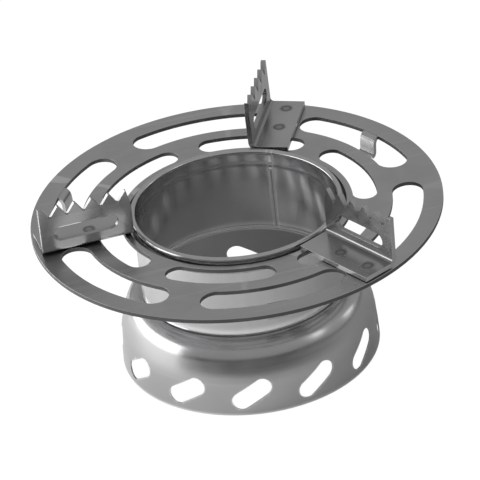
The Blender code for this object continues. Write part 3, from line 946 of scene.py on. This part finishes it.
def bracket_tree(sizes, material):
    """Cuts saw teeth along the top of the blank and a round-ended window in its face."""
    tree, given = new_tree("toothed_bracket", sizes)
    tip, pitch, depth, reach = given["First Tip"], given["Tooth Pitch"], given["Tooth Depth"], given["Reach"]
    run_down = given["Valley Step"]
    valley, next_tip = reckon(tree, "ADD", tip, run_down), reckon(tree, "ADD", tip, pitch)
    floor = reckon(tree, "SUBTRACT", given["Height"], depth)
    over = reckon(tree, "ADD", given["Height"], TOOTH_OVERSHOOT)
    # a gullet's flanks run on above the tips at the tooth's own slope
    rise = reckon(tree, "DIVIDE", TOOTH_OVERSHOOT, depth)
    flats = TIP_FLAT + VALLEY_FLAT
    run_up = reckon(tree, "SUBTRACT", reckon(tree, "SUBTRACT", pitch, run_down), flats)
    out_run = reckon(tree, "MULTIPLY", rise, reckon(tree, "SUBTRACT", run_down, flats))
    back_run = reckon(tree, "MULTIPLY", rise, run_up)
    gullet = cutter(tree, (
        (reckon(tree, "SUBTRACT", reckon(tree, "ADD", tip, TIP_FLAT), out_run), over),
        (reckon(tree, "SUBTRACT", valley, VALLEY_FLAT), floor),
        (reckon(tree, "ADD", valley, VALLEY_FLAT), floor),
        (reckon(tree, "ADD", reckon(tree, "SUBTRACT", next_tip, TIP_FLAT), back_run), over)), reach)
    gaps = reckon(tree, "SUBTRACT", given["Tooth Count"], 1.0)
    seats = step(tree, "GeometryNodeMeshLine", Count=gaps, Offset=vector(tree, pitch, 0.0, 0.0))
    gullets = step(tree, "GeometryNodeInstanceOnPoints", seats, Instance=gullet)

    # the corner outside the first tooth slopes off
    slope_foot = reckon(tree, "SUBTRACT", given["Height"], CORNER_DROP)
    slope_top = reckon(tree, "ADD", tip, CORNER_RUN)
    corner = cutter(tree, ((-1.0 * MM, slope_foot), (0.0, slope_foot), (slope_top, over), (-1.0 * MM, over)), reach)

    end_radius = reckon(tree, "MULTIPLY", given["Window Height"], 0.5)
    half_straight = reckon(tree, "SUBTRACT", reckon(tree, "MULTIPLY", given["Window Length"], 0.5), end_radius)
    window = step(
        tree, "GeometryNodeTransform", solid_from(tree, obround_curve(tree, half_straight, end_radius, 72), reach),
        Translation=vector(tree, given["Window Along"], given["Window Up"], 0.0))
    tools = join(tree, [step(tree, "GeometryNodeRealizeInstances", gullets), corner, window])
    # from the XY plane to the upright's face, then forward of it
    stood = step(tree, "GeometryNodeTransform", tools, Rotation=(pi / 2, 0.0, 0.0),
                 Translation=(0.0, 2.0 * MM, 0.0))
    end_tree(tree, cut_away(tree, given["Blank"], stood), material)
    return tree


def bracket_frame(plate, heading, start, offset):
    """Where a bracket's own corner and directions go on the plate."""
    lift = Matrix.Translation((0.0, 0.0, plate.top + CLEARANCE))
    return lift @ Matrix.Rotation(heading, 4, "Z") @ Matrix.Translation((start, offset, 0.0))


def weld_places(sizes, place_matrix):
    """Centres of a bracket's two spot welds on its foot's upper face."""
    return [
        place_matrix @ Vector((run, -sizes.weld_across, sizes.thickness))
        for run in (sizes.inner_weld, sizes.outer_weld)
    ]


class BURNERSTAND_OT_brackets(bpy.types.Operator):
    """Build the three toothed pot brackets"""

    bl_idname = "burner_stand.brackets"
    bl_label = "Pot Brackets"

    def execute(self, context):
        stand = context.scene.burner_stand
        sizes, finish = stand.bracket, stand.finish
        cuts = inputs_from(
            sizes, "tooth_count", "tooth_pitch", "tooth_depth", "first_tip", "valley_step", "height",
            "window_length", "window_height", "window_along", "window_up")
        cuts["Reach"] = sizes.thickness + 4.0 * MM
        for name, heading, start, offset in BRACKET_PLACES:
            place_matrix = bracket_frame(stand.plate, heading, start, offset)
            marks = [(tuple(spot), sizes.weld_radius) for spot in weld_places(sizes, place_matrix)]
            material = steel(
                f"bracket_steel_{name}", finish.bracket_colour, finish.bracket_roughness,
                lambda tree, heading=heading: flat_grain(tree, heading), 1300.0, 0.16, 0.008, 0.12, marks)
            tree = bracket_tree(cuts, material)
            bracket = plain_piece(f"toothed_bracket_{name}", bracket_blank(sizes), tree, cuts)
            soften(bracket, sizes.edge_round)
            bracket.data.transform(place_matrix)
            place(bracket, "pot_ring", "bracket_steel", f"pot_bracket_{name}")
        return {"FINISHED"}


class BURNERSTAND_OT_spot_welds(bpy.types.Operator):
    """Build the electrode marks of the six spot welds"""

    bl_idname = "burner_stand.spot_welds"
    bl_label = "Spot Welds"

    def execute(self, context):
        stand = context.scene.burner_stand
        sizes, finish = stand.bracket, stand.finish
        material = steel(
            "spot_weld_steel", finish.weld_colour, finish.weld_roughness,
            lambda tree: flat_grain(tree, 0.0), 900.0, 0.3, 0.02)
        # a dished electrode mark with a soft raised rim, let into the foot
        reach = sizes.weld_radius
        section = [
            (0.0, -0.02 * MM), (reach * 0.35, -0.015 * MM), (reach * 0.6, 0.01 * MM), (reach * 0.72, 0.05 * MM),
            (reach * 0.84, 0.045 * MM), (reach * 0.95, 0.015 * MM), (reach, -0.03 * MM), (reach * 0.9, -0.3 * MM),
            (0.0, -0.3 * MM),
        ]
        stud = bmesh.new()
        corners = [stud.verts.new((x, 0.0, z)) for x, z in section]
        edges = [stud.edges.new(pair) for pair in zip(corners, corners[1:])]
        bmesh.ops.spin(stud, geom=corners + edges, cent=(0, 0, 0), axis=(0, 0, 1),
                       angle=2 * pi, steps=40, use_merge=True)
        bmesh.ops.remove_doubles(stud, verts=stud.verts, dist=1e-7)
        mark = close_mesh(stud, "electrode_mark")
        bm = bmesh.new()
        for _, *spread in BRACKET_PLACES:
            for spot in weld_places(sizes, bracket_frame(stand.plate, *spread)):
                laid = len(bm.verts)
                bm.from_mesh(mark)
                bmesh.ops.translate(bm, verts=list(bm.verts)[laid:], vec=spot)
        bpy.data.meshes.remove(mark)
        welds = link_piece("spot_weld_marks", close_mesh(bm, "spot_weld_marks"))
        welds.data.materials.append(material)
        welds.data.shade_smooth()
        names = [f"spot_weld_{name}_{end}" for name, *_ in BRACKET_PLACES for end in ("inner", "outer")]
        place(welds, "pot_ring", "weld_steel", *names)
        return {"FINISHED"}


# ---------------------------------------------------------------- studio

# name, where it stands, what it faces, width, height, brightness, whether the steel mirrors it
SOFTBOXES = (
    ("left_card", (-0.32, 0.07, 0.09), (0.0, 0.07, 0.06), 0.46, 0.17, 2.4, True),
    ("right_window", (1.20, -0.60, 0.56), (0.0, 0.0, 0.05), 0.30, 0.40, 1.2, True),
    ("far_right_window", (1.40, 0.30, 0.27), (0.0, 0.0, 0.05), 0.30, 0.30, 1.3, True),
    ("floor_lamp", (-0.42, -0.30, 0.34), (-0.10, -0.14, 0.0), 0.25, 0.25, 5.0, False),
    ("left_floor_lamp", (-0.22, 0.03, 0.12), (-0.08, 0.03, 0.0), 0.10, 0.10, 8.0, False),
)


def floor_material(tone):
    """Pale floor that stays even to the eye; what the steel sees of it is lit by what falls on it and carries a
    painted pool of light round the stand.
    """
    material = bpy.data.materials.new("pale_floor")
    material.use_nodes = True
    tree = material.node_tree
    tree.nodes.clear()
    place_vector = step_output(tree, "ShaderNodeTexCoord", "Object")
    speck = noise(tree, place_vector, 30.0, 4.0, 0.6)
    away = vector_math(tree, "LENGTH", place_vector, output=1)
    # painted pool of light: the floor's colour fades from full within 0.11 m of the stand to under a fifth from
    # half a metre out
    shade = reckon(tree, "MULTIPLY", sway(tree, speck, 0.04, 1.0), remap(tree, away, 0.11, 0.5, 1.0, 0.18))
    matt = step(tree, "ShaderNodeBsdfDiffuse", vector_math(tree, "SCALE", tone, scale=shade))
    glow = step(tree, "ShaderNodeEmission", (1.0, 1.0, 1.0, 1.0), Strength=1.08)
    seen = step_output(tree, "ShaderNodeLightPath", "Is Camera Ray")
    mix = tree.nodes.new("ShaderNodeMixShader")
    feed(tree, mix.inputs[0], reckon(tree, "MULTIPLY", seen, 0.92))
    tree.links.new(matt, mix.inputs[1])
    tree.links.new(glow, mix.inputs[2])
    tree.links.new(mix.outputs[0], tree.nodes.new("ShaderNodeOutputMaterial").inputs["Surface"])
    return material


def add_softbox(name, stand_at, aim, width, height, brightness, mirrored):
    """One rectangular light that faces a point."""
    light = bpy.data.lights.new(name, "AREA")
    light.shape = "RECTANGLE"
    light.size, light.size_y = width, height
    light.energy = brightness * pi * width * height
    box = bpy.data.objects.new(name, light)
    bpy.context.scene.collection.objects.link(box)
    box.location = stand_at
    box.rotation_euler = (Vector(aim) - Vector(stand_at)).to_track_quat("-Z", "Y").to_euler()
    box.visible_camera = False
    box.visible_glossy = mirrored


def studio_surround(bright, dim):
    """Even light from above and behind, with a dim room low at the front."""
    world = bpy.data.worlds.new("studio_surround")
    world.use_nodes = True
    tree = world.node_tree
    _, y_part, z_part = split(tree, step_output(tree, "ShaderNodeTexCoord", "Generated"))
    behind = remap(tree, y_part, -0.85, -0.1, 0.0, 1.0)
    above = remap(tree, z_part, 0.06, 0.26, 0.0, 1.0)
    lit = reckon(tree, "MULTIPLY_ADD", reckon(tree, "MAXIMUM", behind, above), bright - dim, dim)
    seen = step_output(tree, "ShaderNodeLightPath", "Is Camera Ray")
    background = tree.nodes["Background"]
    background.inputs["Color"].default_value = (1.0, 1.0, 1.0, 1.0)
    feed(tree, background.inputs["Strength"], reckon(tree, "MAXIMUM", lit, seen))
    return world


def add_camera(sizes, aim_height):
    """The camera on its long lens, tipped a little to one side."""
    data = bpy.data.cameras.new("camera")
    data.lens = sizes.lens
    data.sensor_width = 36.0
    data.clip_start, data.clip_end = 0.05, 50.0
    camera = bpy.data.objects.new("camera", data)
    bpy.context.scene.collection.objects.link(camera)
    back = Vector((0.0, -cos(sizes.elevation), sin(sizes.elevation))) * sizes.distance
    stand_at = Matrix.Translation(back + Vector((0.0, 0.0, aim_height)))
    look_down = Matrix.Rotation(pi / 2 - sizes.pitch, 4, "X")
    camera.matrix_world = stand_at @ look_down @ Matrix.Rotation(sizes.roll, 4, "Z")
    bpy.context.scene.camera = camera


class BURNERSTAND_OT_studio(bpy.types.Operator):
    """Set up the floor, the soft lights and the camera"""

    bl_idname = "burner_stand.studio"
    bl_label = "Studio"

    def execute(self, context):
        scene = context.scene
        sizes = scene.burner_stand.studio
        half = sizes.floor_size / 2
        sheet = bpy.data.meshes.new("floor")
        sheet.from_pydata(
            [(-half, -half, 0.0), (half, -half, 0.0), (half, half, 0.0), (-half, half, 0.0)], [], [(0, 1, 2, 3)])
        sheet.materials.append(floor_material(sizes.floor_colour))
        floor = link_piece("floor", sheet)
        for softbox in SOFTBOXES:
            add_softbox(*softbox)
        scene.world = studio_surround(sizes.surround, sizes.front_shade)
        scene.view_settings.view_transform = "Standard"
        add_camera(sizes, scene.burner_stand.plate.top)
        return {"FINISHED"}


# ---------------------------------------------------------------- panel and registration

class BURNERSTAND_PT_panel(bpy.types.Panel):
    """Settings and build steps of the burner stand"""

    bl_idname = "BURNERSTAND_PT_panel"
    bl_label = "Burner Stand"
    bl_space_type = "VIEW_3D"
    bl_region_type = "UI"
    bl_category = "Burner Stand"

    def draw(self, context):
        layout = self.layout
        for step_class in STEPS:
            layout.operator(step_class.bl_idname)
        stand = context.scene.burner_stand
        for group in (stand.plate, stand.bracket, stand.collar, stand.skirt, stand.finish, stand.studio):
            box = layout.box()
            box.label(text=type(group).__doc__)
            for name in type(group).__annotations__:
                box.prop(group, name)


STEPS = (
    BURNERSTAND_OT_skirt,
    BURNERSTAND_OT_collar,
    BURNERSTAND_OT_plate,
    BURNERSTAND_OT_brackets,
    BURNERSTAND_OT_spot_welds,
    BURNERSTAND_OT_studio,
)
CLASSES = (
    PlateSettings,
    BracketSettings,
    CollarSettings,
    SkirtSettings,
    FinishSettings,
    StudioSettings,
    StandSettings,
    *STEPS,
    BURNERSTAND_PT_panel,
)


def register():
    for item in CLASSES:
        bpy.utils.register_class(item)
    bpy.types.Scene.burner_stand = bpy.props.PointerProperty(type=StandSettings)


def unregister():
    del bpy.types.Scene.burner_stand
    for item in reversed(CLASSES):
        bpy.utils.unregister_class(item)


def main():
    """Register everything and build each piece in turn."""
    register()
    bpy.ops.burner_stand.skirt()
    bpy.ops.burner_stand.collar()
    bpy.ops.burner_stand.plate()
    bpy.ops.burner_stand.brackets()
    bpy.ops.burner_stand.spot_welds()
    bpy.ops.burner_stand.studio()


if __name__ == "__main__":
    main()
